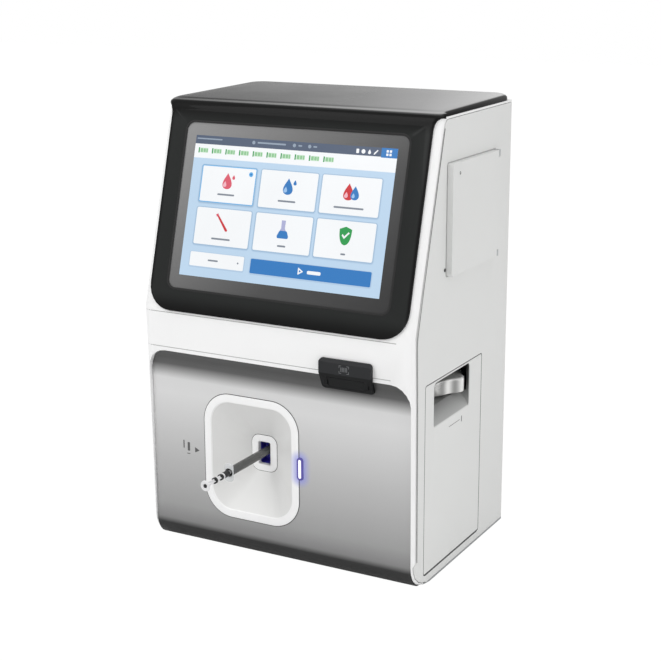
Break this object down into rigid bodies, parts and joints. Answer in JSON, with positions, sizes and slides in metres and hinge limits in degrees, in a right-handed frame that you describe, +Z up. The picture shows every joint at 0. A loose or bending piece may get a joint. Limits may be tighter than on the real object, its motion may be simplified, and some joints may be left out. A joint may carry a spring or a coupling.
{
  "type": "blood gas analyzer",
  "caption": "Benchtop blood gas analyzer with a tilted touch screen, sampling port with syringe, barcode reader, slide-out waste drawer and hinged side cover.",
  "frame": {"origin": "centre of the base pan's flat underside, on the centre plane of the housing", "axes": "+Z up, +X towards the drawer side, -Y towards the screen and sampling port"},
  "size_m": [0.3026, 0.2968, 0.4493],
  "materials": {
    "pan": "satin",
    "white_shell": "fine satin",
    "grey_shell": "fine satin",
    "dark_bezel": "semi-gloss",
    "cover_glass": "polished",
    "display": "satin",
    "sheet_steel": "satin",
    "silver_sheet": "satin",
    "white_port": "satin",
    "navy_block": "satin",
    "black_rubber": "matte",
    "light_pipe": "polished",
    "clear_plastic": "polished",
    "black_plastic": "satin",
    "dark_window": "polished",
    "ground_steel": "ground",
    "pale_plastic": "satin",
    "cap_plastic": "satin",
    "tray_plastic": "satin",
    "dark_plastic": "satin",
    "motor_can": "satin",
    "pump_hose": "satin",
    "blue_plastic": "satin",
    "circuit_board": "solder mask",
    "supply_case": "satin",
    "foot_rubber": "matte"
  },
  "bodies": {
    "housing": {"base_pan": "pan", "front_frame": "white_shell", "side_panel_left": "grey_shell", "side_panel_right": "grey_shell", "rear_panel": "grey_shell", "screen_hood": "dark_bezel", "touch_glass": "cover_glass", "lcd_module": "display", "display_bracket": "sheet_steel", "fascia": "silver_sheet", "port_panel": "white_port", "port_insert": "white_port", "inlet_block": "navy_block", "inlet_seal": "black_rubber", "status_light": "light_pipe", "scanner_pod": "black_plastic", "scanner_window": "dark_window", "probe_frame": "sheet_steel", "guide_rod": "ground_steel", "cover_hinge_pin": "ground_steel", "cover_hinge_leaf": "sheet_steel", "probe_motor": "black_plastic", "drawer_bay": "sheet_steel", "runner_front": "sheet_steel", "runner_rear": "sheet_steel", "service_tray": "tray_plastic", "pump_housing": "dark_plastic", "pump_motor": "motor_can", "pump_tube": "pump_hose", "sensor_cartridge": "blue_plastic", "mid_shelf": "sheet_steel", "divider_wall": "sheet_steel", "mainboard": "circuit_board", "io_block": "motor_can", "power_supply": "supply_case", "fan_frame": "black_plastic", "power_inlet": "black_plastic", "foot_front_left": "foot_rubber", "foot_front_right": "foot_rubber", "foot_rear_left": "foot_rubber", "foot_rear_right": "foot_rubber"},
    "drawer": {"drawer_front": "grey_shell", "drawer_tray": "sheet_steel", "waste_tank": "pale_plastic", "tank_gasket": "black_rubber", "reagent_pack": "pale_plastic"},
    "cap": {"tank_cap": "cap_plastic"},
    "cover": {"side_cover": "grey_shell"},
    "probe": {"probe_carriage": "pale_plastic", "probe_needle": "ground_steel"},
    "lead_screw": {"probe_screw": "ground_steel"},
    "rotor": {"pump_rotor": "tray_plastic"},
    "roller_1": {"pump_roller_1": "pale_plastic"},
    "roller_2": {"pump_roller_2": "pale_plastic"},
    "roller_3": {"pump_roller_3": "pale_plastic"},
    "fan": {"fan_rotor": "black_plastic"},
    "rocker": {"power_rocker": "black_plastic"},
    "syringe": {"syringe_barrel": "clear_plastic"},
    "plunger": {"plunger_rod": "clear_plastic", "plunger_seal": "black_rubber"}
  },
  "joints": [
    {"name": "drawer_slide", "type": "slide", "parent": "housing", "child": "drawer", "axis": [1, 0, 0], "range_m": [0, 0.11]},
    {"name": "cap_turn", "type": "hinge", "parent": "drawer", "child": "cap", "pos_m": [0.113, 0.004, 0.167], "axis": [0, 0, 1], "range_deg": [0, 90]},
    {"name": "cover_hinge", "type": "hinge", "parent": "housing", "child": "cover", "pos_m": [0.15145, 0.06265, 0.291], "axis": [0, 0, 1], "range_deg": [0, 110]},
    {"name": "probe_slide", "type": "slide", "parent": "housing", "child": "probe", "axis": [0, -1, 0], "range_m": [0, 0.03]},
    {"name": "screw_spin", "type": "hinge", "parent": "housing", "child": "lead_screw", "pos_m": [-0.016, 0.0635, 0.1205], "axis": [0, -1, 0], "range_deg": [0, 1080.5]},
    {"name": "pump_spin", "type": "hinge", "parent": "housing", "child": "rotor", "pos_m": [0.1121, -0.0115, 0.328], "axis": [1, 0, 0], "continuous": true},
    {"name": "roller_spin_1", "type": "hinge", "parent": "rotor", "child": "roller_1", "pos_m": [0.1141, -0.0115, 0.339], "axis": [1, 0, 0], "continuous": true},
    {"name": "roller_spin_2", "type": "hinge", "parent": "rotor", "child": "roller_2", "pos_m": [0.1141, -0.02103, 0.3225], "axis": [1, 0, 0], "continuous": true},
    {"name": "roller_spin_3", "type": "hinge", "parent": "rotor", "child": "roller_3", "pos_m": [0.1141, -0.00197, 0.3225], "axis": [1, 0, 0], "continuous": true},
    {"name": "fan_spin", "type": "hinge", "parent": "housing", "child": "fan", "pos_m": [0.08, 0.09675, 0.34], "axis": [0, 1, 0], "continuous": true},
    {"name": "rocker_tip", "type": "hinge", "parent": "housing", "child": "rocker", "pos_m": [-0.085, 0.10605, 0.052], "axis": [1, 0, 0], "range_deg": [0, 18]},
    {"name": "syringe_pull", "type": "slide", "parent": "housing", "child": "syringe", "axis": [0, -1, 0], "range_m": [0, 0.06]},
    {"name": "plunger_slide", "type": "slide", "parent": "syringe", "child": "plunger", "axis": [0, 1, 0], "range_m": [0, 0.03]}
  ],
  "couplings": [
    {"joint": "screw_spin", "follows": "probe_slide", "rad_per_m": 628.32},
    {"joint": "roller_spin_1", "follows": "pump_spin", "ratio": -3.8947},
    {"joint": "roller_spin_2", "follows": "pump_spin", "ratio": -3.8947},
    {"joint": "roller_spin_3", "follows": "pump_spin", "ratio": -3.8947}
  ]
}
